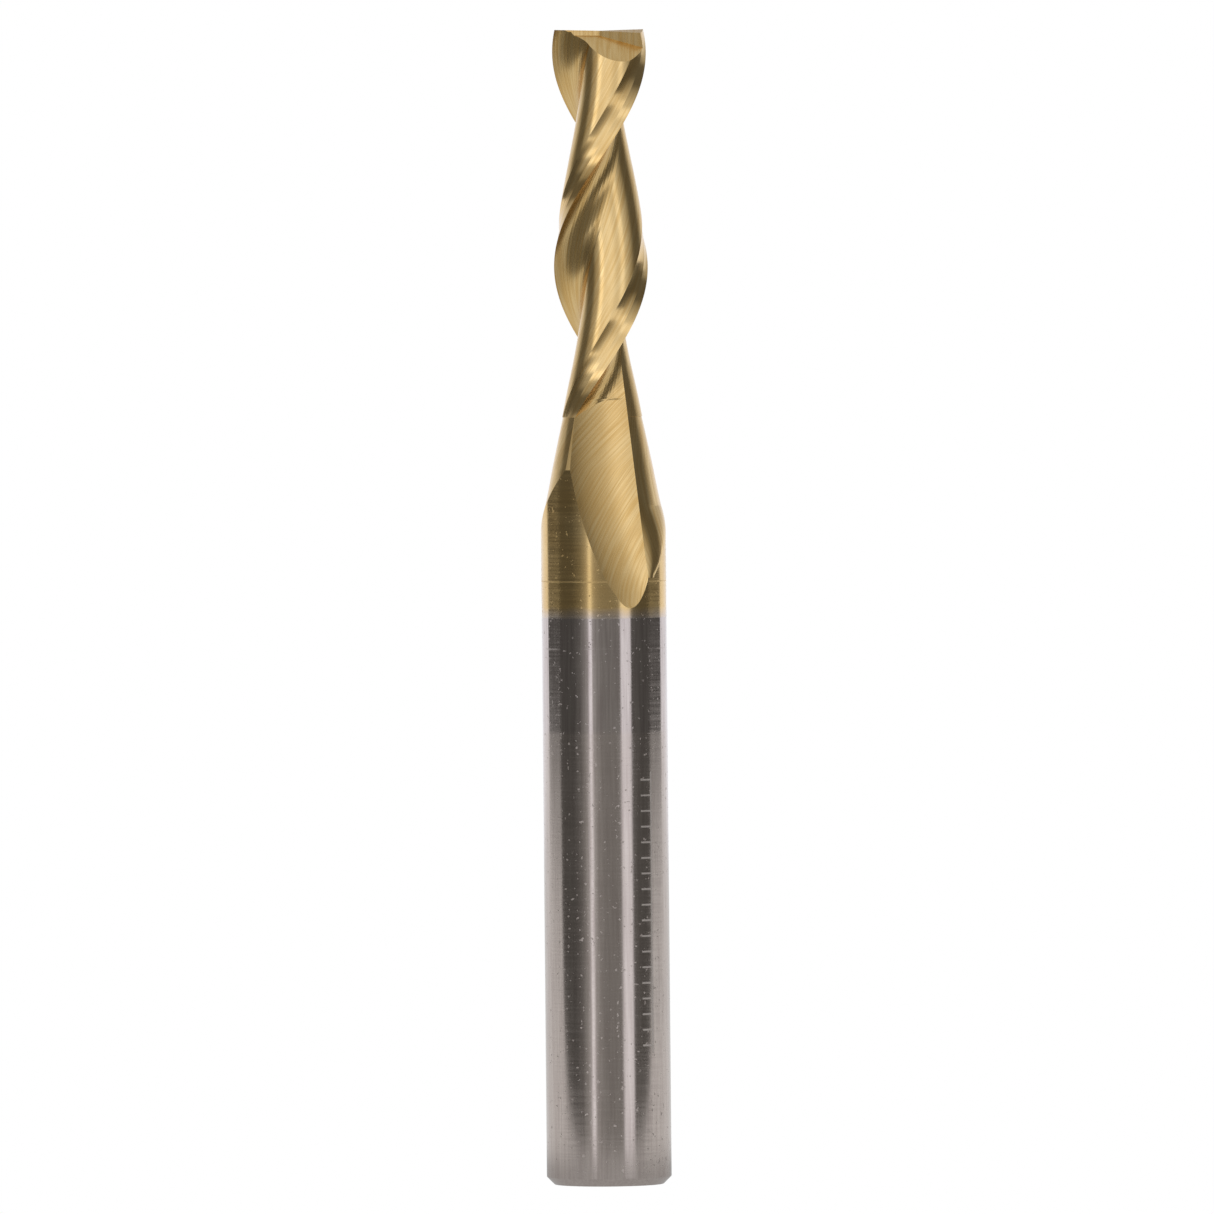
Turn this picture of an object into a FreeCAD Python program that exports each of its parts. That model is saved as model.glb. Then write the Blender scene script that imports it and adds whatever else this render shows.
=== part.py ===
"""Two-flute end mill: 6 mm cutting diameter on an 8 mm plain shank, right-hand cut, right-hand helix.

+Z runs along the tool's axis to the cutting tip, and the origin is the centre of the shank's end face.
"""
import FreeCAD, Part
import math
import os
import Sketcher
from FreeCAD import Placement, Rotation, Vector

doc = FreeCAD.newDocument("end_mill")

# ---------------------------------------------------------------- driving dimensions, millimetres and degrees
DIMENSIONS = [
    ("overall_length", 74.0),
    ("shank_diameter", 8.0),
    ("shank_chamfer", 0.5),
    ("coating_edge", 36.35),        # the coated end starts at this height
    ("runout_end", 37.7),           # the flutes leave the neck's surface here
    ("neck_foot", 45.9),            # the cone down to the cutting diameter starts here
    ("neck_relief", 0.01),          # how far the neck is ground below the shank's radius by its foot
    ("relief_end", 49.2),           # the ground lands start here
    ("runout_start", 52.5),         # below this the flutes open out
    ("cutting_diameter", 6.0),
    ("flute_lead", 27.5),           # height of one whole turn
    ("edge_reference", 58.8),       # height where the cutting edges lie in the XZ plane
    ("rake_angle", 8.0),
    ("primary_land", 12.6),         # angle about the axis from the cutting edge to the end of the first land
    ("primary_ratio", 0.932),       # radius there, as a share of the cutting radius
    ("heel_land", 34.3),
    ("heel_ratio", 0.888),
    ("back_offset_ratio", 0.273),   # centre of the convex back, as a share of the cutting radius
    ("back_radius_ratio", 0.645),
    ("back_end_angle", 143.0),      # where the back meets the flute
    ("runout_slope", 11.4),
    ("runout_direction", 54.7),     # the way the flute leaves the axis at the neck
    ("floor_end_angle", 62.7),      # the way the run-out's floor faces at its lowest point
    ("neck_back_angle", 53.7),      # where the back reaches the neck's surface
    ("end_dish_angle", 1.5),
    ("end_relief_angle", 11.0),
    ("gash_depth", 0.32),
    ("gash_angle", 36.0),
    ("gash_tooth_angle", 24.0),
]

sheet = doc.addObject("Spreadsheet::Sheet", "dimensions")
for row, (alias, value) in enumerate(DIMENSIONS, start=1):
    sheet.set(f"A{row}", alias)
    sheet.set(f"B{row}", str(value))
    sheet.setAlias(f"B{row}", alias)
doc.recompute()


def size(alias):
    """The value of one cell of the sheet."""
    return float(sheet.get(alias))


LENGTH = size("overall_length")
CUT_RADIUS = size("cutting_diameter") / 2
SHANK_RADIUS = size("shank_diameter") / 2
COATING_EDGE = size("coating_edge")
RUNOUT_END = size("runout_end")
NECK_FOOT = size("neck_foot")
RELIEF_END = size("relief_end")
RUNOUT_START = size("runout_start")
TWIST = 360.0 / size("flute_lead")      # degrees of turn for each millimetre of height
SECTION_STEP = 0.8                      # most height between two sections of a loft
BACK_RISE = 0.222                       # how far the convex back stands off its chord, as a share of it
BACK_RISE_AT_RELIEF_END = 0.134
RELIEF_FADE = 0.018                     # what the heel gains on the cutting radius by relief_end
RUNOUT_FLUTE_RISE = 0.05
RUNOUT_BACK_RISE = 0.231                # the back's rise at relief_end, once it runs on to the next flute
FOOT_BACK_RISE = 0.211                  # the same at neck_foot
LOW_BACK_RISE = 0.12                    # the same where the back meets the full neck
LOW_BACK_DROP = 2.4                     # how far below neck_foot that is
FLOOR_SWING = 3.5                       # degrees that the run-out's floor swings out and back on its way down
FLOOR_TURN = 48.0                       # how far the cutter's floor arc reaches, past the neck's surface
BACK_LAST_HEIGHT = 39.0                 # below this only the floor cuts the neck
CLEAR = 0.05                            # a cutter reaches this far past the surface that it leaves
REACH = 10.0                            # a cutter's outer radius


def polar(radius, angle):
    """A point of a section from its radius and its angle in degrees."""
    return Vector(radius * math.cos(math.radians(angle)), radius * math.sin(math.radians(angle)), 0)


def turned(point, angle):
    """A section's point turned about the axis by an angle in degrees."""
    return Rotation(Vector(0, 0, 1), angle).multVec(point)


def heights(low, high):
    """Evenly spaced section heights from low to high, no further apart than SECTION_STEP."""
    count = math.ceil((high - low) / SECTION_STEP)
    return [low + (high - low) * index / count for index in range(count + 1)]


def blend(low_value, high_value, low, high, height):
    """A value that runs straight from low_value at low to high_value at high, and is level outside."""
    share = min(max((height - low) / (high - low), 0.0), 1.0)
    return low_value + (high_value - low_value) * share


def arc_with_rise(start, end, rise):
    """The arc whose middle stands off its chord, on the left, by a share of the chord."""
    chord = end - start
    left = Vector(-chord.y, chord.x, 0)
    return Part.Arc(start, (start + end) * 0.5 + left * rise, end)


# ---------------------------------------------------------------- the section of the fluted length
# A blade has a cutting edge, two flat lands, a heel and a convex back. A concave flute runs from the cutting
# edge of one blade to the end of the other blade's back. The lands trail their edge, at smaller angles.
def edge_angle(height):
    """The angle of the first cutting edge: a right-handed helix."""
    return (height - size("edge_reference")) * TWIST


def regular_bend():
    """Where a blade's back meets the flute, for the blade whose cutting edge is on +X."""
    centre = Vector(size("back_offset_ratio") * CUT_RADIUS, 0, 0)
    return centre + polar(size("back_radius_ratio") * CUT_RADIUS, -size("back_end_angle"))


def regular_flute_rise():
    """The flute's rise that gives the rake angle at the cutting edge."""
    chord = regular_bend() + Vector(CUT_RADIUS, 0, 0)
    chord_angle = math.degrees(math.atan2(-chord.y, chord.x))
    return math.tan(math.radians(chord_angle + size("rake_angle")) / 2) / 2


def bend_point(height):
    """Where the flute in front of the first edge meets the other blade's back."""
    if height >= RUNOUT_START:
        return turned(regular_bend(), edge_angle(height) + 180)
    start = turned(regular_bend(), edge_angle(RUNOUT_START) + 180)
    way_out = polar(math.tan(math.radians(size("runout_slope"))), -size("runout_direction"))
    return start + way_out * (RUNOUT_START - height)


def blade_edges(height):
    """Half of the section: a flute, the other blade's back, and its two lands."""
    edge = polar(CUT_RADIUS, edge_angle(height))
    other = edge_angle(height) + 180
    bend = bend_point(height)
    heel_ratio = blend(size("heel_ratio") + RELIEF_FADE, size("heel_ratio"), RELIEF_END, RUNOUT_START, height)
    heel = polar(heel_ratio * CUT_RADIUS, other - size("heel_land"))
    land = polar(size("primary_ratio") * CUT_RADIUS, other - size("primary_land"))
    flute_rise = blend(RUNOUT_FLUTE_RISE, regular_flute_rise(), RELIEF_END, RUNOUT_START, height)
    back_rise = blend(BACK_RISE_AT_RELIEF_END, BACK_RISE, RELIEF_END, RUNOUT_START, height)
    curves = [
        arc_with_rise(edge, bend, flute_rise),
        arc_with_rise(bend, heel, -back_rise),
        Part.LineSegment(heel, land),
        Part.LineSegment(land, polar(CUT_RADIUS, other)),
    ]
    return [curve.toShape() for curve in curves]


def fluted_section(height):
    """The whole section at its height: one half, and the same half turned by 180 degrees."""
    half = blade_edges(height)
    other_half = [edge.rotated(Vector(0, 0, 0), Vector(0, 0, 1), 180) for edge in half]
    return Part.Wire(half + other_half).translated(Vector(0, 0, height))


def fluted_length():
    """The fluted solid from relief_end to past the tip: its regular part and the part that opens out."""
    opening = Part.makeLoft([fluted_section(z) for z in heights(RELIEF_END, RUNOUT_START)], True)
    regular = Part.makeLoft([fluted_section(z) for z in heights(RUNOUT_START, LENGTH + 1)], True)
    return regular.fuse(opening)


# ---------------------------------------------------------------- where the flutes leave the neck
def floor_angle(height):
    """The direction that the run-out's floor faces: it swings a little between its two ends."""
    share = blend(0.0, 1.0, RUNOUT_END, RELIEF_END, height)
    top_chord = bend_point(RELIEF_END) - polar(CUT_RADIUS, edge_angle(RELIEF_END))
    top_angle = math.degrees(math.atan2(top_chord.y, top_chord.x)) - 90
    return share * top_angle - (1 - share) * size("floor_end_angle") - FLOOR_SWING * math.sin(math.pi * share)


def back_rise_at(height):
    """The rise of the back below relief_end, where it runs on to the next flute or to the neck's surface."""
    if height >= NECK_FOOT:
        return blend(FOOT_BACK_RISE, RUNOUT_BACK_RISE, NECK_FOOT, RELIEF_END, height)
    return blend(LOW_BACK_RISE, FOOT_BACK_RISE, NECK_FOOT - LOW_BACK_DROP, NECK_FOOT, height)


def runout_section(height):
    """The outline that one flute takes out of the neck: floor, back, and a way round outside the neck."""
    bend = bend_point(height)
    chord = (bend_point(RELIEF_END) - polar(CUT_RADIUS, edge_angle(RELIEF_END))).Length
    sagitta = RUNOUT_FLUTE_RISE * chord
    floor_radius = (chord * chord / 4 + sagitta * sagitta) / (2 * sagitta)
    half_turn = math.degrees(math.asin(chord / 2 / floor_radius))
    floor_centre = bend + polar(floor_radius, floor_angle(height) - half_turn)
    from_centre = bend - floor_centre
    floor_far = floor_centre + turned(from_centre, FLOOR_TURN)
    floor_middle = floor_centre + turned(from_centre, FLOOR_TURN / 2)
    back_angle = size("neck_back_angle") - TWIST * max(NECK_FOOT - max(height, BACK_LAST_HEIGHT), 0.0)
    neck_radius = blend(SHANK_RADIUS, CUT_RADIUS, NECK_FOOT, RELIEF_END, height)
    back_end = polar(neck_radius + CLEAR, back_angle)
    back_far = polar(REACH, back_angle)
    curves = [
        Part.Arc(floor_far, floor_middle, bend),
        arc_with_rise(bend, back_end, -back_rise_at(height)),
        Part.LineSegment(back_end, back_far),
        Part.Arc(back_far, polar(REACH, floor_angle(height)), floor_far),
    ]
    return Part.Wire([curve.toShape() for curve in curves]).translated(Vector(0, 0, height))


def both_sides(solid):
    """A solid and its copy turned by 180 degrees, as one compound."""
    return Part.makeCompound([solid, solid.rotated(Vector(0, 0, 0), Vector(0, 0, 1), 180)])


def runout_cutters():
    levels = heights(RUNOUT_END - 1, RELIEF_END) + [RELIEF_END + CLEAR]
    return both_sides(Part.makeLoft([runout_section(z) for z in levels], True))


# ---------------------------------------------------------------- the end teeth
def ground_notch(plan, centre_height, along, down_slope, sideways):
    """What lies inside a plan outline and above a ground plane.

    The plane crosses the axis at centre_height, holds `along`, and falls by down_slope towards `sideways`.
    """
    slope = math.radians(down_slope)
    falling = sideways * math.cos(slope) - Vector(0, 0, math.sin(slope))
    normal = along.cross(falling)
    if normal.z < 0:
        normal = normal * -1
    above = Part.makeBox(2 * REACH, 2 * REACH, REACH, Vector(-REACH, -REACH, 0))
    turn = Rotation(falling.cross(normal), falling, normal, "ZYX")
    above.Placement = Placement(Vector(0, 0, centre_height), turn)
    top_face = Part.Face(Part.makePolygon(plan + plan[:1])).translated(Vector(0, 0, LENGTH + 2))
    return top_face.extrude(Vector(0, 0, -REACH)).common(above)


def end_relief():
    """What the relief grinding of one end tooth takes away: it falls to the centre and behind the edge."""
    angle = edge_angle(LENGTH)
    dish = math.radians(size("end_dish_angle"))
    along = polar(math.cos(dish), angle) + Vector(0, 0, math.sin(dish))
    outward = polar(REACH / 2, angle)
    trailing = polar(REACH / 2, angle - 90)
    plan = [outward, outward + trailing, trailing - outward, outward * -1]
    centre_height = LENGTH - CUT_RADIUS * math.tan(dish)
    return ground_notch(plan, centre_height, along, size("end_relief_angle"), polar(1.0, angle - 90))


def end_gash():
    """The notch in front of one end tooth. It leaves the other tooth its thickness."""
    angle = edge_angle(LENGTH)
    outward = polar(REACH / 2, angle)
    leading = polar(REACH / 2, angle + 90)
    web = polar(2 * CLEAR, angle + 90)
    other_side = polar(REACH / 2, angle + 180 - size("gash_tooth_angle"))
    plan = [web, outward, outward + leading, other_side + leading, other_side]
    root_height = LENGTH - size("gash_depth")
    return ground_notch(plan, root_height, polar(1.0, angle), size("gash_angle"), polar(1.0, angle + 90))


def end_cutters():
    """Both teeth's relief and gash, as one solid."""
    relief = end_relief()
    gash = end_gash()
    half_turn = (Vector(0, 0, 0), Vector(0, 0, 1), 180)
    return relief.fuse([relief.rotated(*half_turn), gash, gash.rotated(*half_turn)])


# ---------------------------------------------------------------- the sub-parts
def add_shaped(name, shape):
    """A document object that holds a shape made from the sheet's values."""
    feature = doc.addObject("Part::Feature", name)
    feature.Shape = shape
    return feature


def origin_plane(body, role):
    """One of a body's own origin planes."""
    return next(plane for plane in body.Origin.OriginFeatures if plane.Role == role)


def add_shank():
    """The bare shank: a cylinder with a chamfered end, turned from a half profile."""
    body = doc.addObject("PartDesign::Body", "shank")
    profile = body.newObject("Sketcher::SketchObject", "shank_profile")
    profile.AttachmentSupport = (origin_plane(body, "XZ_Plane"), [""])
    profile.MapMode = "FlatFace"
    radius = SHANK_RADIUS
    chamfer = size("shank_chamfer")
    corners = [(0, 0), (radius - chamfer, 0), (radius, chamfer), (radius, COATING_EDGE), (0, COATING_EDGE)]
    points = [Vector(x, y, 0) for x, y in corners]
    for start, end in zip(points, points[1:] + points[:1]):
        profile.addGeometry(Part.LineSegment(start, end), False)
    count = len(points)
    for index in range(count):
        profile.addConstraint(Sketcher.Constraint("Coincident", index, 2, (index + 1) % count, 1))
    profile.addConstraint(Sketcher.Constraint("Coincident", 0, 1, -1, 1))
    for index in (0, 3):
        profile.addConstraint(Sketcher.Constraint("Horizontal", index))
    for index in (2, 4):
        profile.addConstraint(Sketcher.Constraint("Vertical", index))
    bound = [
        ("DistanceX", (-1, 1, 2, 1), radius, "dimensions.shank_diameter / 2"),
        ("DistanceX", (0, 2, 2, 1), chamfer, "dimensions.shank_chamfer"),
        ("DistanceY", (-1, 1, 2, 1), chamfer, "dimensions.shank_chamfer"),
        ("DistanceY", (-1, 1, 3, 1), COATING_EDGE, "dimensions.coating_edge"),
    ]
    for kind, ends, value, expression in bound:
        index = profile.addConstraint(Sketcher.Constraint(kind, *ends, value))
        profile.setExpression(f"Constraints[{index}]", expression)
    turning = body.newObject("PartDesign::Revolution", "shank_turning")
    turning.Profile = profile
    turning.ReferenceAxis = (profile, ["V_Axis"])
    turning.Angle = 360
    body.Tip = turning
    body.Label = "shank"
    return body


def add_neck():
    """The coated neck, relieved a little below the shank's size, with the two flutes running out of it."""
    full_neck = doc.addObject("Part::Cone", "full_neck")
    full_neck.setExpression("Radius1", "dimensions.shank_diameter / 2")
    full_neck.setExpression("Radius2", "dimensions.shank_diameter / 2 - dimensions.neck_relief")
    full_neck.setExpression("Height", "dimensions.neck_foot - dimensions.coating_edge")
    full_neck.setExpression("Placement.Base.z", "dimensions.coating_edge")
    cone = doc.addObject("Part::Cone", "neck_cone")
    cone.setExpression("Radius1", "dimensions.shank_diameter / 2 - dimensions.neck_relief")
    cone.setExpression("Radius2", "dimensions.cutting_diameter / 2")
    cone.setExpression("Height", "dimensions.relief_end - dimensions.neck_foot")
    cone.setExpression("Placement.Base.z", "dimensions.neck_foot")
    blank = doc.addObject("Part::Fuse", "neck_blank")
    blank.Base = full_neck
    blank.Tool = cone
    neck = doc.addObject("Part::Cut", "neck")
    neck.Base = blank
    neck.Tool = add_shaped("runout_cutters", runout_cutters())
    return neck


def add_cutting_end():
    """The coated end: neck and fluted length joined, with the end teeth ground into the tip."""
    joined = doc.addObject("Part::Fuse", "joined_end")
    joined.Base = add_neck()
    joined.Tool = add_shaped("fluted_length", fluted_length())
    finished = doc.addObject("Part::Cut", "cutting_end")
    finished.Base = joined
    finished.Tool = add_shaped("end_cutters", end_cutters())
    finished.Label = "cutting_end"
    return finished


SUB_PARTS = [add_shank(), add_cutting_end()]
doc.recompute()

for item in doc.Objects:
    if "Invalid" in item.State or "Error" in item.State:
        raise RuntimeError(f"{item.Name} did not build: {item.State}")

os.makedirs("parts", exist_ok=True)
for part in SUB_PARTS:
    if part.Shape.isNull() or not part.Shape.isValid():
        raise RuntimeError(f"{part.Label} has no valid shape")
    part.Shape.exportStep(f"parts/{part.Label}.step")
    print(f"{part.Label}: {len(part.Shape.Solids)} solid, {part.Shape.Volume:.2f} mm3")
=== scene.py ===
"""Looks of a two-flute end mill: finely meshed ground surfaces on the CAD frame, studio light and camera.

Sections are worked out in millimetres in the CAD frame and turned into metres when a mesh is made.
"""
import bmesh
import bpy
import math
import numpy as np
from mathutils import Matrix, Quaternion, Vector


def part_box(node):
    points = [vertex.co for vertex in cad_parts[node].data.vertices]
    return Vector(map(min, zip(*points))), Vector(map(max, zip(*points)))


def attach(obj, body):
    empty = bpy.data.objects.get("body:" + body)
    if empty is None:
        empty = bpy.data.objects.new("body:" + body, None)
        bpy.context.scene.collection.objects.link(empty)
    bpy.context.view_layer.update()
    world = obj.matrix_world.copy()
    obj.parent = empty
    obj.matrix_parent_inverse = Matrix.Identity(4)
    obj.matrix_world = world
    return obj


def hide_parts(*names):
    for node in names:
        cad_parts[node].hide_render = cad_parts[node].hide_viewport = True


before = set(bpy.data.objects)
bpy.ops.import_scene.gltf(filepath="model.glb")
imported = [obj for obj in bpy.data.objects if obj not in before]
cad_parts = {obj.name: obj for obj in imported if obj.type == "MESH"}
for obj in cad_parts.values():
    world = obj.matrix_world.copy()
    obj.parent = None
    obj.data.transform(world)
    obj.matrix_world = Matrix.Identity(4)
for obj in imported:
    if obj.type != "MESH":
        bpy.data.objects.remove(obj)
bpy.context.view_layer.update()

MM = 0.001
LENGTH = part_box("cutting_end")[1].z / MM
COATING_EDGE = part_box("cutting_end")[0].z / MM
SHANK_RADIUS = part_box("shank")[1].x / MM

# -------------------- the tool's geometry, millimetres and degrees
CUT_RADIUS = 3.0
FLUTE_LEAD = 27.5               # height of one whole turn
TWIST = 360.0 / FLUTE_LEAD
EDGE_REFERENCE = 58.8           # height where the cutting edges lie in the XZ plane
NECK_FOOT = 45.9                # the cone down to the cutting diameter starts here
RELIEF_END = 49.2               # the ground lands start here
RUNOUT_START = 52.5             # below this the flutes open out
RUNOUT_END = 37.7
RAKE_ANGLE = 8.0
PRIMARY_LAND, PRIMARY_RATIO = 12.6, 0.932
HEEL_LAND, HEEL_RATIO = 34.3, 0.888
RELIEF_FADE = 0.018
BACK_OFFSET_RATIO, BACK_RADIUS_RATIO, BACK_END_ANGLE = 0.273, 0.645, 143.0
BACK_RISE, BACK_RISE_AT_RELIEF_END = 0.222, 0.134
RUNOUT_FLUTE_RISE = 0.05
RUNOUT_BACK_RISE, FOOT_BACK_RISE, LOW_BACK_RISE, LOW_BACK_DROP = 0.231, 0.211, 0.12, 2.4
RUNOUT_SLOPE, RUNOUT_DIRECTION = 11.4, 54.7
FLOOR_END_ANGLE, FLOOR_SWING = 62.7, 3.5
NECK_BACK_ANGLE, BACK_LAST_HEIGHT = 53.7, 39.0
DISH_ANGLE, RELIEF_ANGLE = 1.5, 11.0
GASH_DEPTH, GASH_ANGLE, GASH_TOOTH_ANGLE = 0.32, 36.0, 24.0
WEB = 0.1                       # what the gash leaves beside the axis
RELIEF_OVERLAP = 0.002          # the two reliefs reach past the axis by this, to leave no film between them
SHANK_CHAMFER = 0.5

# Segments of half a section: flute, back, second land, first land.
SEGMENTS = (34, 34, 8, 6)
ROW_STEP = 0.12                 # height between two rows of the mesh
SMOOTH_ANGLE = 5.0              # edges sharper than this are creases
RAKE_SEGMENTS = 14              # how many of the flute's segments lie on the steep rake face
FINE = 2000                     # steps in which the rake face is searched for its corner with the floor
NEAR_FOOT, NEAR_FOOT_ROWS = 1.2, 25     # above the foot of the trough the rows start very close together
PAST_TIP = 1.0                  # how far the rows go on above the tip, for the end teeth to be cut out of
TIP_LENGTH = 5.0                # length of the part that is cut
TINY = 1e-6
MERGE_DISTANCE = 1e-7           # metres

FLOOR_GRAIN_SLANT = 0.93        # how far the grinding lines of the trough run across for each millimetre up


def polar(radius, angle):
    return radius * np.array([math.cos(math.radians(angle)), math.sin(math.radians(angle))])


def turned(point, angle):
    c, s = math.cos(math.radians(angle)), math.sin(math.radians(angle))
    return np.array([c * point[0] - s * point[1], s * point[0] + c * point[1]])


def angle_of(point):
    return math.degrees(math.atan2(point[1], point[0]))


def blend(low_value, high_value, low, high, height):
    """A value that runs straight from one height to another and stays the same past them."""
    share = min(max((height - low) / (high - low), 0.0), 1.0)
    return low_value + (high_value - low_value) * share


def arc(start, end, rise, count):
    """count + 1 points on the arc whose middle stands off its chord, on the left, by a share of the chord."""
    chord = end - start
    left = np.array([-chord[1], chord[0]])
    half = 2 * math.atan(2 * rise)
    if abs(half) < TINY:
        return start + chord * np.linspace(0, 1, count + 1)[:, None]
    steps = np.linspace(-half, half, count + 1)[:, None]
    along = np.sin(steps) / math.sin(half) / 2
    off = (np.cos(steps) - math.cos(half)) / math.sin(half) / 2
    return (start + end) / 2 + chord * along + left * off


def around(radius, start_angle, end_angle, count):
    """count + 1 points on a circle about the axis."""
    return np.array([polar(radius, a) for a in np.linspace(start_angle, end_angle, count + 1)])


# -------------------- sections
def edge_angle(height):
    """Where the first cutting edge stands."""
    return (height - EDGE_REFERENCE) * TWIST


BACK_CENTRE = np.array([BACK_OFFSET_RATIO * CUT_RADIUS, 0])
REGULAR_BEND = BACK_CENTRE + polar(BACK_RADIUS_RATIO * CUT_RADIUS, -BACK_END_ANGLE)
REGULAR_CHORD = REGULAR_BEND + np.array([CUT_RADIUS, 0])
REGULAR_FLUTE_RISE = math.tan(math.radians(RAKE_ANGLE - angle_of(REGULAR_CHORD)) / 2) / 2


def bend_point(height):
    """Where the flute in front of the first edge meets the other blade's back."""
    if height >= RUNOUT_START:
        return turned(REGULAR_BEND, edge_angle(height) + 180)
    start = turned(REGULAR_BEND, edge_angle(RUNOUT_START) + 180)
    way_out = polar(math.tan(math.radians(RUNOUT_SLOPE)), -RUNOUT_DIRECTION)
    return start + way_out * (RUNOUT_START - height)


TOP_CHORD = bend_point(RELIEF_END) - polar(CUT_RADIUS, edge_angle(RELIEF_END))
TOP_CHORD_LENGTH = float(np.hypot(*TOP_CHORD))
SAGITTA = RUNOUT_FLUTE_RISE * TOP_CHORD_LENGTH
FLOOR_RADIUS = (TOP_CHORD_LENGTH ** 2 / 4 + SAGITTA ** 2) / (2 * SAGITTA)
FLOOR_HALF_TURN = math.degrees(math.asin(TOP_CHORD_LENGTH / 2 / FLOOR_RADIUS))


def flute_stretch(height):
    """From the cutting edge to the bend: the rake face, which the trough's flat floor cuts off lower down."""
    edge = polar(CUT_RADIUS, edge_angle(height))
    hooked = arc(edge, turned(REGULAR_BEND, edge_angle(height) + 180), REGULAR_FLUTE_RISE, FINE)
    low = min(height, RUNOUT_START)
    low_edge = polar(CUT_RADIUS, edge_angle(low))
    low_hooked = arc(low_edge, turned(REGULAR_BEND, edge_angle(low) + 180), REGULAR_FLUTE_RISE, FINE)
    bend = bend_point(low)
    centre = bend + polar(FLOOR_RADIUS, angle_of(TOP_CHORD) - 90 - FLOOR_HALF_TURN)
    outside = np.hypot(*(low_hooked - centre).T) > FLOOR_RADIUS - TINY
    corner = int(np.argmax(outside)) if outside.any() else FINE
    rake = hooked[np.round(np.linspace(0, corner, RAKE_SEGMENTS + 1)).astype(int)]
    rest = SEGMENTS[0] - RAKE_SEGMENTS
    if height >= RUNOUT_START:
        floor = hooked[np.round(np.linspace(corner, FINE, rest + 1)).astype(int)]
    else:
        floor = arc(hooked[corner], bend, floor_rise(hooked[corner], bend), rest)
    return np.vstack([rake[:-1], floor])


def floor_rise(start, end):
    """The rise, as a share of the chord, of the floor's arc between two of its points."""
    half_chord = float(np.hypot(*(end - start))) / 2
    return (FLOOR_RADIUS - math.sqrt(FLOOR_RADIUS ** 2 - half_chord ** 2)) / (2 * half_chord)


def fluted_half(height):
    """The four stretches of half a section above the neck."""
    edge = polar(CUT_RADIUS, edge_angle(height))
    other = edge_angle(height) + 180
    heel_ratio = blend(HEEL_RATIO + RELIEF_FADE, HEEL_RATIO, RELIEF_END, RUNOUT_START, height)
    heel = polar(heel_ratio * CUT_RADIUS, other - HEEL_LAND)
    land = polar(PRIMARY_RATIO * CUT_RADIUS, other - PRIMARY_LAND)
    back_rise = blend(BACK_RISE_AT_RELIEF_END, BACK_RISE, RELIEF_END, RUNOUT_START, height)
    bend = bend_point(height)
    return [
        flute_stretch(height),
        arc(bend, heel, -back_rise, SEGMENTS[1]),
        arc(heel, land, 0, SEGMENTS[2]),
        arc(land, -edge, 0, SEGMENTS[3]),
    ]


def neck_radius(height):
    return blend(SHANK_RADIUS, CUT_RADIUS, NECK_FOOT, RELIEF_END, height)


def floor_circle(height):
    """The centre of the trough's floor arc, and its two crossings with the neck, as turns from the bend."""
    share = blend(0.0, 1.0, RUNOUT_END, RELIEF_END, height)
    faces = share * (angle_of(TOP_CHORD) - 90) - (1 - share) * FLOOR_END_ANGLE
    faces -= FLOOR_SWING * math.sin(math.pi * share)
    bend = bend_point(height)
    centre = bend + polar(FLOOR_RADIUS, faces - FLOOR_HALF_TURN)
    distance = float(np.hypot(*centre))
    radius = neck_radius(height)
    along = (distance ** 2 + FLOOR_RADIUS ** 2 - radius ** 2) / (2 * distance)
    if along >= FLOOR_RADIUS:
        return None
    half = math.degrees(math.acos(along / FLOOR_RADIUS))
    to_bend = angle_of(bend - centre)
    to_axis = angle_of(-centre)
    middle = (to_axis - to_bend + 180) % 360 - 180
    return centre, bend, middle - half, middle + half


def neck_half(height):
    """The stretches of half a section where the trough runs out through the neck."""
    centre, bend, near, far = floor_circle(height)
    from_centre = bend - centre
    radius = neck_radius(height)
    inside = float(np.hypot(*bend)) < radius
    near = 0.0 if inside else near
    turns = [far] * RAKE_SEGMENTS + list(np.linspace(far, near, SEGMENTS[0] - RAKE_SEGMENTS + 1))
    floor = np.array([centre + turned(from_centre, a) for a in turns])
    back_angle = NECK_BACK_ANGLE - TWIST * max(NECK_FOOT - max(height, BACK_LAST_HEIGHT), 0.0)
    if inside:
        low = blend(LOW_BACK_RISE, FOOT_BACK_RISE, NECK_FOOT - LOW_BACK_DROP, NECK_FOOT, height)
        rise = blend(low, RUNOUT_BACK_RISE, NECK_FOOT, RELIEF_END, height)
        back = arc(bend, polar(radius, back_angle), -rise, SEGMENTS[1])
    else:
        back = around(radius, angle_of(floor[-1]), back_angle, SEGMENTS[1])
    rest = around(radius, back_angle, angle_of(floor[0]) + 180, SEGMENTS[2] + SEGMENTS[3])
    return [floor, back, rest[:SEGMENTS[2] + 1], rest[SEGMENTS[2]:]]


def trough_foot():
    """The lowest height at which the floor still cuts the neck."""
    low, high = RUNOUT_END - 1.0, RUNOUT_END + 1.0
    for _ in range(40):
        middle = (low + high) / 2
        if floor_circle(middle) is None:
            low = middle
        else:
            high = middle
    return high


# -------------------- meshes
FLUTE, BACK, LAND, NECK, END = range(5)      # material indexes of the coated end


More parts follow.
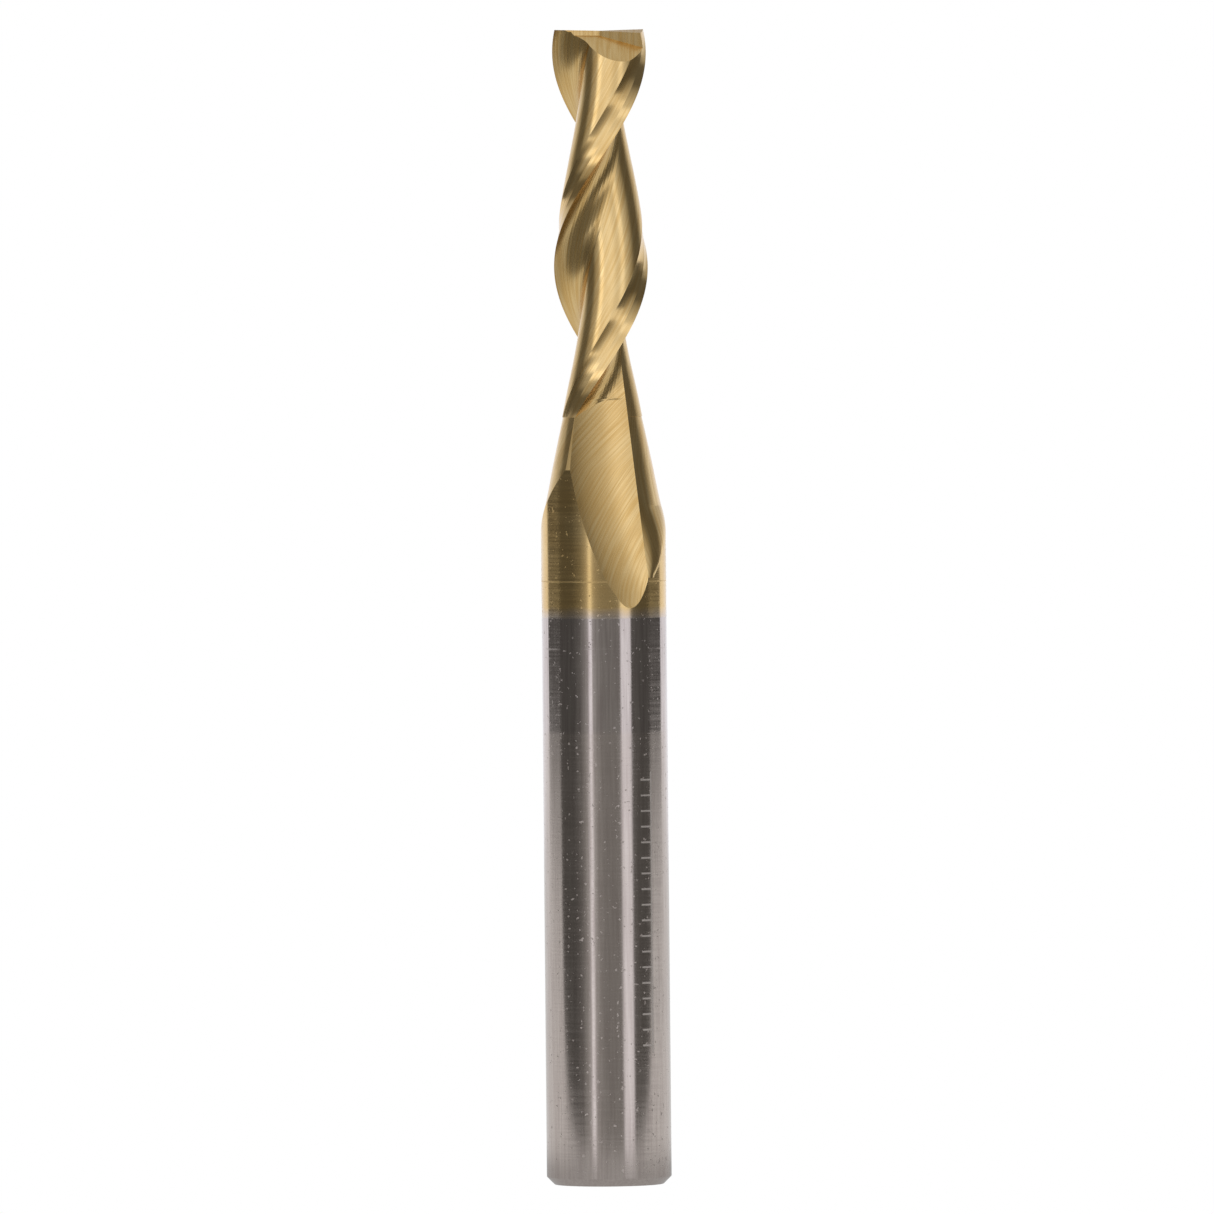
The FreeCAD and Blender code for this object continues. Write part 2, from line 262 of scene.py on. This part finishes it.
def strip_rows():
    """Rows of (height, stretches, zones) from the coating's edge to past the tip."""
    foot = trough_foot()
    rows = []
    plain = []
    for stretch in neck_half(foot + TINY):
        start = angle_of(stretch[0])
        turn = (angle_of(stretch[-1]) - start + 180) % 360 - 180
        plain.append(around(SHANK_RADIUS, start, start + turn, len(stretch) - 1))
    for height in np.linspace(COATING_EDGE, foot, 8)[:-1]:
        rows.append((height, plain, (NECK, NECK, NECK, NECK)))
    for share in np.linspace(0, 1, NEAR_FOOT_ROWS + 1)[:-1]:
        height = foot + TINY + NEAR_FOOT * share ** 2
        rows.append((height, neck_half(height), (FLUTE, NECK, NECK, NECK)))
    count = math.ceil((RELIEF_END - foot - NEAR_FOOT) / ROW_STEP)
    for height in np.linspace(foot + NEAR_FOOT, RELIEF_END, count + 1):
        inside = float(np.hypot(*bend_point(height))) < neck_radius(height)
        rows.append((height, neck_half(height), (FLUTE, BACK if inside else NECK, NECK, NECK)))
    count = math.ceil((LENGTH + PAST_TIP - RELIEF_END) / ROW_STEP)
    for height in np.linspace(RELIEF_END, LENGTH + PAST_TIP, count + 1):
        rows.append((height, fluted_half(height), (FLUTE, BACK, LAND, LAND)))
    return rows


def coated_mesh(rows, with_top):
    """A skin over some of the rows, with the grinding direction as a UV map named grain."""
    half_count = sum(SEGMENTS)
    points, across = [], []
    for height, stretches, _ in rows:
        half = np.concatenate([s[:-1] for s in stretches])
        closing = stretches[-1][-1]
        lengths = np.hypot(*np.diff(np.vstack([half, closing]), axis=0).T)
        across.append(np.concatenate([[0], np.cumsum(lengths)]))
        ring = np.vstack([half, -half])
        points.append(np.column_stack([ring, np.full(len(ring), height)]))
    ring_count = 2 * half_count
    vertices = np.vstack(points) * MM
    stretch_of = np.repeat(np.arange(4), SEGMENTS)
    faces, zones, grain = [], [], []
    for i in range(len(rows) - 1):
        low, high = rows[i][0], rows[i + 1][0]
        for j in range(ring_count):
            k = j % half_count
            after = (j + 1) % ring_count
            faces.append((i * ring_count + j, i * ring_count + after,
                          (i + 1) * ring_count + after, (i + 1) * ring_count + j))
            zone = rows[i][2][stretch_of[k]]
            zones.append(zone)
            corners = ((across[i][k], low), (across[i][k + 1], low),
                       (across[i + 1][k + 1], high), (across[i + 1][k], high))
            for u, z in corners:
                if zone == NECK:
                    grain.append((z, u))
                elif zone == FLUTE and high < RUNOUT_START:
                    grain.append((u - FLOOR_GRAIN_SLANT * z, z))
                else:
                    grain.append((u, z))
    last = (len(rows) - 1) * ring_count
    caps = [(range(ring_count - 1, -1, -1), NECK)]
    if with_top:
        caps.append((range(last, last + ring_count), END))
    for ring, zone in caps:
        faces.append(tuple(ring))
        zones.append(zone)
        grain.extend((vertices[v][0] / MM, vertices[v][1] / MM) for v in ring)
    mesh = bpy.data.meshes.new("coated_end")
    mesh.from_pydata(vertices.tolist(), [], faces)
    mesh.polygons.foreach_set("material_index", zones)
    layer = mesh.uv_layers.new(name="grain")
    layer.uv.foreach_set("vector", np.array(grain, float).ravel())
    merge_points(mesh)
    return mesh


def merge_points(mesh):
    """Joins points that lie on each other, which drops the faces between them."""
    work = bmesh.new()
    work.from_mesh(mesh)
    bmesh.ops.remove_doubles(work, verts=work.verts, dist=MERGE_DISTANCE)
    work.to_mesh(mesh)
    work.free()


def stitched(lower, upper, height):
    """The lower skin and the finished tip as one mesh; the tip's bottom cap at the seam goes."""
    work = bmesh.new()
    work.from_mesh(lower)
    work.from_mesh(upper)
    seam = height * MM
    caps = [face for face in work.faces if all(abs(v.co.z - seam) < MERGE_DISTANCE for v in face.verts)]
    bmesh.ops.delete(work, geom=caps, context="FACES")
    bmesh.ops.remove_doubles(work, verts=work.verts, dist=MERGE_DISTANCE)
    mesh = bpy.data.meshes.new("coated_end")
    work.to_mesh(mesh)
    work.free()
    return mesh


def prism(name, plan, ground):
    """A closed prism over a plan outline, from a ground plane up to well past the tip."""
    top = LENGTH + 3
    count = len(plan)
    low = [(x * MM, y * MM, ground(np.array([x, y])) * MM) for x, y in plan]
    high = [(x * MM, y * MM, top * MM) for x, y in plan]
    sides = [(i, (i + 1) % count, count + (i + 1) % count, count + i) for i in range(count)]
    faces = sides + [tuple(range(count - 1, -1, -1)), tuple(range(count, 2 * count))]
    mesh = bpy.data.meshes.new(name)
    mesh.from_pydata(low + high, [], faces)
    layer = mesh.uv_layers.new(name="grain")
    for polygon in mesh.polygons:
        for loop in polygon.loop_indices:
            x, y, z = mesh.vertices[mesh.loops[loop].vertex_index].co / MM
            layer.uv[loop].vector = (x, y + z)
    cutter = bpy.data.objects.new(name, mesh)
    bpy.context.scene.collection.objects.link(cutter)
    return cutter


def end_cutters(material):
    """The relief and the gash of both end teeth."""
    cutters = []
    reach = 5.0
    for tooth in (0, 180):
        angle = edge_angle(LENGTH) + tooth
        out, lead, trail = polar(1, angle), polar(1, angle + 90), polar(1, angle - 90)

        def relief_ground(p, out=out, trail=trail):
            dish = math.tan(math.radians(DISH_ANGLE))
            fall = math.tan(math.radians(RELIEF_ANGLE))
            return LENGTH - CUT_RADIUS * dish + p @ out * dish - p @ trail * fall

        def gash_ground(p, lead=lead):
            return LENGTH - GASH_DEPTH - p @ lead * math.tan(math.radians(GASH_ANGLE))

        past = trail * -RELIEF_OVERLAP
        relief_plan = [past - out * reach, (trail - out) * reach, (out + trail) * reach, past + out * reach]
        tooth_side = polar(reach, angle + 180 - GASH_TOOTH_ANGLE)
        gash_plan = [lead * WEB, out * reach, (out + lead) * reach, tooth_side + lead * reach, tooth_side]
        cutters.append(prism(f"relief_{tooth}", relief_plan, relief_ground))
        cutters.append(prism(f"gash_{tooth}", gash_plan, gash_ground))
    for cutter in cutters:
        cutter.data.materials.append(material)
    return cutters


def smooth(mesh):
    """Smooth shading with creases; the neck gets the exact normals of its cylinder and cone."""
    mesh.polygons.foreach_set("use_smooth", [True] * len(mesh.polygons))
    mesh.set_sharp_from_angle(angle=math.radians(SMOOTH_ANGLE))
    mesh.update()
    slope = (SHANK_RADIUS - CUT_RADIUS) / (RELIEF_END - NECK_FOOT)
    normals = [Vector(corner.vector) for corner in mesh.corner_normals]
    for polygon in mesh.polygons:
        if polygon.material_index != NECK or abs(polygon.normal.z) > 0.9:
            continue
        lean = slope if polygon.center.z > NECK_FOOT * MM else 0.0
        for loop in polygon.loop_indices:
            point = mesh.vertices[mesh.loops[loop].vertex_index].co
            outward = Vector((point.x, point.y, 0)).normalized()
            normals[loop] = Vector((outward.x, outward.y, lean)).normalized()
    mesh.normals_split_custom_set(normals)


def add_coated_end(materials):
    """Rows of sections up to the tip; only the short part at the tip is cut by the end teeth's cutters."""
    rows = strip_rows()
    seam = next(i for i, row in enumerate(rows) if row[0] > LENGTH - TIP_LENGTH)
    lower = coated_mesh(rows[:seam + 1], False)
    tip = coated_mesh(rows[seam:], True)
    for material in materials:
        lower.materials.append(material)
        tip.materials.append(material)
    piece = bpy.data.objects.new("coated_end", tip)
    bpy.context.scene.collection.objects.link(piece)
    cutters = end_cutters(materials[END])
    for cutter in cutters:
        modifier = piece.modifiers.new(cutter.name, "BOOLEAN")
        modifier.operation = "DIFFERENCE"
        modifier.solver = "EXACT"
        modifier.object = cutter
        modifier.material_mode = "TRANSFER"
    graph = bpy.context.evaluated_depsgraph_get()
    cut = bpy.data.meshes.new_from_object(piece.evaluated_get(graph))
    piece.modifiers.clear()
    for cutter in cutters:
        bpy.data.objects.remove(cutter)
    piece.data = stitched(lower, cut, rows[seam][0])
    for material in materials:
        if material.name not in piece.data.materials:
            piece.data.materials.append(material)
    smooth(piece.data)
    return piece


def lathe(name, profile, count):
    """A turned piece from a profile of (radius, height); its grain runs round the axis."""
    vertices, faces, grain = [], [], []
    for radius, height in profile:
        for step in range(count):
            x, y = polar(radius, 360 * step / count)
            vertices.append((x * MM, y * MM, height * MM))
    for i in range(len(profile) - 1):
        for j in range(count):
            after = (j + 1) % count
            faces.append((i * count + j, i * count + after, (i + 1) * count + after, (i + 1) * count + j))
            turn = 2 * math.pi / count
            radius = profile[i][0]
            low, high = profile[i][1] - profile[i][0], profile[i + 1][1] - profile[i + 1][0]
            grain += [(low, radius * turn * j), (low, radius * turn * (j + 1)),
                      (high, radius * turn * (j + 1)), (high, radius * turn * j)]
    last = (len(profile) - 1) * count
    for ring in (range(count - 1, -1, -1), range(last, last + count)):
        faces.append(tuple(ring))
        grain += [(vertices[v][0] / MM, vertices[v][1] / MM) for v in ring]
    mesh = bpy.data.meshes.new(name)
    mesh.from_pydata(vertices, [], faces)
    layer = mesh.uv_layers.new(name="grain")
    layer.uv.foreach_set("vector", np.array(grain, float).ravel())
    piece = bpy.data.objects.new(name, mesh)
    bpy.context.scene.collection.objects.link(piece)
    return piece


def add_shank(material):
    """The bare shank, with a crisp chamfer whose corners are just broken."""
    broken = 0.02
    r, c = SHANK_RADIUS, SHANK_CHAMFER
    corners = [(0.4, 0.0), (r - c - broken, 0.0), (r - c, broken * 0.4), (r - c + broken, broken),
               (r - broken, c - broken), (r - broken * 0.4, c), (r, c + broken)]
    body = [(r, float(z)) for z in np.linspace(c + 2 * broken, COATING_EDGE, 30)]
    piece = lathe("bare_shank", corners + body, 256)
    piece.data.materials.append(material)
    piece.data.polygons.foreach_set("use_smooth", [True] * len(piece.data.polygons))
    piece.data.set_sharp_from_angle(angle=math.radians(12))
    return piece


# -------------------- materials
class Nodes:
    """A short way to write a node tree."""

    def __init__(self, tree):
        self.tree = tree

    def add(self, kind, inputs=(), **settings):
        node = self.tree.nodes.new(kind)
        for name, value in settings.items():
            setattr(node, name, value)
        for name, value in dict(inputs).items():
            self.feed(node.inputs[name], value)
        return node

    def feed(self, socket, value):
        if isinstance(value, bpy.types.NodeSocket):
            self.tree.links.new(value, socket)
        else:
            socket.default_value = value

    def math(self, operation, *values):
        node = self.add("ShaderNodeMath", operation=operation)
        for index, value in enumerate(values):
            self.feed(node.inputs[index], value)
        return node.outputs[0]

    def between(self, value, low, high, soft):
        """1 where value is between low and high, with soft edges."""
        rising = self.ramped(value, low - soft, low + soft, 0.0, 1.0)
        falling = self.ramped(value, high - soft, high + soft, 1.0, 0.0)
        return self.math("MULTIPLY", rising, falling)

    def ramped(self, value, low, high, low_out, high_out):
        node = self.add("ShaderNodeMapRange", {"Value": value, "From Min": low, "From Max": high,
                                               "To Min": low_out, "To Max": high_out})
        return node.outputs["Result"]

    def mixed(self, share, first, second):
        node = self.add("ShaderNodeMix", data_type="RGBA")
        self.feed(node.inputs[0], share)
        # This node's colour sockets come after its number sockets, under the same names.
        self.feed(node.inputs[6], first)
        self.feed(node.inputs[7], second)
        return node.outputs[2]


def new_material(name):
    material = bpy.data.materials.new(name)
    material.use_nodes = True
    material.node_tree.nodes.clear()
    return material, Nodes(material.node_tree)


def grain_noise(n, across, along, detail=3.0):
    """Noise that is drawn out along the grinding direction; across and along are in waves per millimetre."""
    uv = n.add("ShaderNodeUVMap", uv_map="grain")
    placed = n.add("ShaderNodeMapping", {"Vector": uv.outputs[0], "Scale": (across, along, 1.0)})
    noise = n.add("ShaderNodeTexNoise", {"Vector": placed.outputs[0], "Scale": 1.0, "Detail": detail},
                  noise_dimensions="2D")
    return noise.outputs["Fac"]


def cloud_noise(n, waves, detail=3.0):
    """Noise that fills space, in waves per millimetre."""
    place = n.add("ShaderNodeTexCoord").outputs["Object"]
    noise = n.add("ShaderNodeTexNoise", {"Vector": place, "Scale": waves / MM, "Detail": detail})
    return noise.outputs["Fac"]


def finish_surface(n, colour, roughness, bump_height, bump_depth):
    bump = n.add("ShaderNodeBump", {"Height": bump_height, "Strength": 1.0, "Distance": bump_depth})
    shader = n.add("ShaderNodeBsdfPrincipled", {"Base Color": colour, "Roughness": roughness,
                                                "Metallic": 1.0, "Normal": bump.outputs[0]})
    n.add("ShaderNodeOutputMaterial", {"Surface": shader.outputs[0]})
    return shader


GOLD_LIGHT = (0.83, 0.625, 0.31, 1)
GOLD_DEEP = (0.66, 0.425, 0.15, 1)
CARBIDE_LIGHT = (0.62, 0.56, 0.53, 1)
CARBIDE_DEEP = (0.50, 0.44, 0.42, 1)


def coated(name, roughness, waves, depth_nm, lightness):
    """Ground carbide under the gold coating. depth_nm is how deep the grinding lines are."""
    material, n = new_material(name)
    lines = grain_noise(n, waves, waves / 40)
    wide_lines = grain_noise(n, waves / 2.5, waves / 60, 1.0)
    clouds = cloud_noise(n, 0.5)
    streaks = n.math("ADD", lines, wide_lines)
    share = n.ramped(n.math("ADD", streaks, n.math("MULTIPLY", clouds, 0.5)), 1.0, 1.5,
                     0.5 - lightness, 1.1 - lightness)
    colour = n.mixed(share, GOLD_LIGHT, GOLD_DEEP)
    rough = n.ramped(lines, 0.3, 0.7, roughness * 0.8, roughness * 1.25)
    height = n.math("ADD", lines, n.math("MULTIPLY", wide_lines, 2.0))
    finish_surface(n, colour, rough, height, depth_nm * 1e-9)
    return material


def speckles(n, waves, threshold):
    """Small bright flecks."""
    noise = cloud_noise(n, waves, 1.0)
    return n.ramped(noise, threshold, threshold + 0.03, 0.0, 1.0)


def coated_neck():
    """The coated neck: ground round, with flecks, a faint ring, and a coating that thins at its edge."""
    material, n = new_material("coated_neck")
    place = n.add("ShaderNodeTexCoord").outputs["Object"]
    height_mm = n.math("DIVIDE", n.add("ShaderNodeSeparateXYZ", {"Vector": place}).outputs["Z"], MM)
    lines = grain_noise(n, 9.0, 0.25)
    flecks = speckles(n, 4.5, 0.70)
    ring = n.math("MULTIPLY", n.between(height_mm, 38.66, 38.74, 0.03), 0.6)
    blemishes = n.math("ADD", flecks, ring)
    edge = n.math("ADD", height_mm, n.math("MULTIPLY", cloud_noise(n, 1.2), 0.35))
    thin = n.ramped(edge, COATING_EDGE + 0.05, COATING_EDGE + 0.9, 1.0, 0.0)
    gold = n.mixed(cloud_noise(n, 0.4), GOLD_LIGHT, GOLD_DEEP)
    colour = n.mixed(thin, gold, CARBIDE_LIGHT)
    rough = n.math("ADD", n.ramped(lines, 0.3, 0.7, 0.13, 0.2), n.math("MULTIPLY", blemishes, 0.3))
    height = n.math("ADD", lines, n.math("MULTIPLY", blemishes, 3.0))
    finish_surface(n, colour, rough, height, 2.0e-7)
    return material


def bare_carbide():
    """The ground shank: mirror-like near the coating, duller and browner below, with flecks and scuffs."""
    material, n = new_material("bare_carbide")
    place = n.add("ShaderNodeTexCoord").outputs["Object"]
    parts = n.add("ShaderNodeSeparateXYZ", {"Vector": place})
    height_mm = n.math("DIVIDE", parts.outputs["Z"], MM)
    toward = n.math("MULTIPLY", parts.outputs["Y"], -1.0)
    angle = n.math("MULTIPLY", n.math("ARCTAN2", parts.outputs["X"], toward), 180 / math.pi)
    lines = grain_noise(n, 8.0, 0.2)
    flecks = speckles(n, 4.0, 0.69)
    broken = n.ramped(cloud_noise(n, 0.5), 0.4, 0.65, 0.0, 0.5)
    ring = n.math("MULTIPLY", n.between(height_mm, 34.36, 34.44, 0.03), broken)
    blemishes = n.math("MAXIMUM", flecks, ring)
    worn = n.ramped(height_mm, 28.9, 29.2, 1.0, 0.0)
    scuff_map = n.add("ShaderNodeMapping", {"Vector": place, "Scale": (6 / MM, 6 / MM, 0.25 / MM)})
    scuff_noise = n.add("ShaderNodeTexNoise", {"Vector": scuff_map.outputs[0], "Scale": 1.0, "Detail": 3.0})
    scuffs = scuff_noise.outputs["Fac"]
    tick = n.math("FRACT", n.math("ADD", height_mm, 0.05))
    ticks = n.math("MULTIPLY", n.between(tick, 0.0, 0.12, 0.01), n.between(height_mm, 8.5, 26.5, 0.01))
    mark = n.math("MULTIPLY", ticks, n.between(angle, 34.0, 46.0, 0.2))
    spine = n.math("MULTIPLY", n.between(angle, 45.2, 46.8, 0.2), n.between(height_mm, 8.5, 26.5, 0.01))
    mark = n.math("MAXIMUM", mark, spine)
    colour = n.mixed(n.ramped(scuffs, 0.35, 0.65, 0.0, 1.0), CARBIDE_LIGHT, CARBIDE_DEEP)
    colour = n.mixed(n.math("MULTIPLY", worn, 0.35), colour, (0.62, 0.54, 0.48, 1))
    colour = n.mixed(n.math("MULTIPLY", mark, 0.6), colour, (0.75, 0.70, 0.66, 1))
    rough = n.math("ADD", n.ramped(lines, 0.3, 0.7, 0.07, 0.12), n.math("MULTIPLY", worn, 0.05))
    rough = n.math("ADD", rough, n.math("MULTIPLY", n.math("MAXIMUM", blemishes, mark), 0.3))
    height = n.math("ADD", lines, n.math("MULTIPLY", blemishes, 3.0))
    height = n.math("ADD", height, n.math("MULTIPLY", n.math("MULTIPLY", scuffs, worn), 1.5))
    finish_surface(n, colour, rough, height, 2.0e-7)
    return material


# -------------------- light, floor and camera
# What the tool reflects, by direction seen from above: 0 is towards the camera, positive to the right.
# Each entry is a direction in degrees and the brightness there; brightness runs straight between two entries.
# SURROUND is level with the tool, SURROUND_ABOVE and SURROUND_BELOW lie above and below that.
SURROUND = [
    (-180, 1.0), (-128, 1.0), (-126, 0.10), (-60, 0.09), (-46, 0.16), (-36, 0.34), (-30, 0.5), (-29, 1.15),
    (-24, 1.15), (-23, 0.5), (-16, 0.34), (-4, 0.25), (26, 0.24), (29, 0.30), (30, 1.0), (49, 1.0),
    (50, 0.14), (70, 0.10), (126, 0.10), (128, 1.0), (180, 1.0),
]
SURROUND_ABOVE = [
    (-180, 0.5), (-120, 0.5), (-114, 0.15), (-86, 0.13), (-78, 0.42), (-60, 0.50), (-55, 1.5), (-46, 1.5),
    (-40, 1.0), (-8, 1.1), (10, 0.85), (20, 0.85), (26, 1.15), (36, 1.15), (42, 0.7), (50, 0.62), (58, 0.48),
    (68, 0.34), (78, 0.12), (112, 0.12), (120, 0.5), (180, 0.5),
]
SURROUND_BELOW = [
    (-180, 0.8), (-93, 0.75), (-80, 0.22), (-60, 0.15), (60, 0.14), (100, 0.14), (120, 0.5), (180, 0.8),
]
OVERHEAD = 0.62                         # one brightness all over the top

# The elevations in degrees over which each of them takes over.
ABOVE_FROM, ABOVE_TO = 2.5, 12.0
OVERHEAD_FROM, OVERHEAD_TO = 38.0, 50.0
BELOW_FROM, BELOW_TO = -8.0, -20.0


def direction_ramp(n, azimuth, entries):
    """Light by direction; where it is dim it is also a little warmer."""
    ramp = n.add("ShaderNodeValToRGB", {"Fac": n.ramped(azimuth, -180, 180, 0.0, 1.0)})
    stops = ramp.color_ramp.elements
    while len(stops) < len(entries):
        stops.new(0.5)
    for stop, (direction, brightness) in zip(stops, entries):
        stop.position = (direction + 180) / 360
        warmth = max(0.0, 1.0 - brightness)
        stop.color = (brightness, brightness * (1 - 0.03 * warmth), brightness * (1.05 - 0.15 * warmth), 1)
    return ramp.outputs[0]


def add_world():
    """Soft light from all around for the tool, and plain white behind it for the camera."""
    world = bpy.data.worlds.new("studio")
    bpy.context.scene.world = world
    world.use_nodes = True
    world.node_tree.nodes.clear()
    n = Nodes(world.node_tree)
    way = n.add("ShaderNodeSeparateXYZ", {"Vector": n.add("ShaderNodeTexCoord").outputs["Generated"]})
    toward = n.math("MULTIPLY", way.outputs["Y"], -1.0)
    azimuth = n.math("MULTIPLY", n.math("ARCTAN2", way.outputs["X"], toward), 180 / math.pi)
    elevation = n.math("MULTIPLY", n.math("ARCSINE", way.outputs["Z"]), 180 / math.pi)
    colour = direction_ramp(n, azimuth, SURROUND)
    above = n.ramped(elevation, ABOVE_FROM, ABOVE_TO, 0.0, 1.0)
    colour = n.mixed(above, colour, direction_ramp(n, azimuth, SURROUND_ABOVE))
    overhead = n.ramped(elevation, OVERHEAD_FROM, OVERHEAD_TO, 0.0, 1.0)
    colour = n.mixed(overhead, colour, (OVERHEAD, OVERHEAD, OVERHEAD, 1))
    below = n.ramped(elevation, BELOW_FROM, BELOW_TO, 0.0, 1.0)
    colour = n.mixed(below, colour, direction_ramp(n, azimuth, SURROUND_BELOW))
    around_tool = n.add("ShaderNodeBackground", {"Color": colour, "Strength": 1.0})
    backdrop = n.add("ShaderNodeBackground", {"Color": (1, 1, 1, 1), "Strength": 1.0})
    seen = n.add("ShaderNodeLightPath").outputs["Is Camera Ray"]
    both = n.add("ShaderNodeMixShader", {"Fac": seen})
    n.feed(both.inputs[1], around_tool.outputs[0])
    n.feed(both.inputs[2], backdrop.outputs[0])
    n.add("ShaderNodeOutputWorld", {"Surface": both.outputs[0]})


# The front edge of the table, from the middle outwards: how far to the side, and where it is in Y, in metres.
TABLE_FRONT = [(0.0, -0.043), (0.045, -0.035), (0.097, -0.026), (0.219, -0.011), (0.7, 0.02)]
TABLE_BACK = 0.55


def add_floor():
    """A table that the camera sees as plain white and that the tool reflects, with a painted shadow that
    makes it a little dimmer close by.
    """
    low = -0.0001
    front = [(-x, y, low) for x, y in reversed(TABLE_FRONT)] + [(x, y, low) for x, y in TABLE_FRONT[1:]]
    side = TABLE_FRONT[-1][0]
    mesh = bpy.data.meshes.new("table")
    outline = front + [(side, TABLE_BACK, low), (-side, TABLE_BACK, low)]
    mesh.from_pydata(outline, [], [tuple(range(len(outline)))])
    material, n = new_material("white_table")
    place = n.add("ShaderNodeTexCoord").outputs["Object"]
    away = n.add("ShaderNodeVectorMath", {"Vector": place}, operation="LENGTH").outputs["Value"]
    # painted shadow: the table's glow is weaker within about 55 mm of the tool
    bright = n.ramped(away, 0.025, 0.055, 0.45, 0.75)
    seen = n.add("ShaderNodeLightPath").outputs["Is Camera Ray"]
    glow = n.add("ShaderNodeEmission", {"Color": (1, 1, 1, 1), "Strength": n.math("MAXIMUM", bright, seen)})
    n.add("ShaderNodeOutputMaterial", {"Surface": glow.outputs[0]})
    mesh.materials.append(material)
    table = bpy.data.objects.new("table", mesh)
    bpy.context.scene.collection.objects.link(table)


def add_camera():
    """A long lens level with the tip, so that the view looks down a little at the shank."""
    distance = 1.4
    across = 0.0778             # what the frame shows at the tool
    lean = 0.53                 # the tool leans this much in the frame, its shank to the right
    middle = Vector((0.19 * MM, 0, 0.5 * LENGTH * MM))
    data = bpy.data.cameras.new("camera")
    data.sensor_width = 36.0
    data.lens = data.sensor_width * distance / across
    data.clip_end = 20.0
    camera = bpy.data.objects.new("camera", data)
    rise = 0.5 * LENGTH * MM
    camera.location = middle + Vector((0, -math.sqrt(distance ** 2 - rise ** 2), rise))
    aim = (middle - camera.location).to_track_quat("-Z", "Y")
    camera.rotation_mode = "QUATERNION"
    camera.rotation_quaternion = aim @ Quaternion((0, 0, 1), math.radians(-lean))
    bpy.context.scene.collection.objects.link(camera)
    bpy.context.scene.camera = camera


# -------------------- build
bpy.context.scene.view_settings.view_transform = "Standard"
add_world()
add_floor()
add_camera()

# In the order of FLUTE, BACK, LAND, NECK and END.
coated_materials = [
    coated("coated_flute", roughness=0.24, waves=13.0, depth_nm=500, lightness=0.20),
    coated("coated_back", roughness=0.20, waves=12.0, depth_nm=450, lightness=0.35),
    coated("coated_land", roughness=0.18, waves=6.0, depth_nm=300, lightness=0.30),
    coated_neck(),
    coated("coated_end_teeth", roughness=0.26, waves=12.0, depth_nm=400, lightness=0.15),
]
coated_end = add_coated_end(coated_materials)
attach(coated_end, "root")
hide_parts("cutting_end")

bare_shank = add_shank(bare_carbide())
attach(bare_shank, "root")
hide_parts("shank")

bpy.context.view_layer.update()
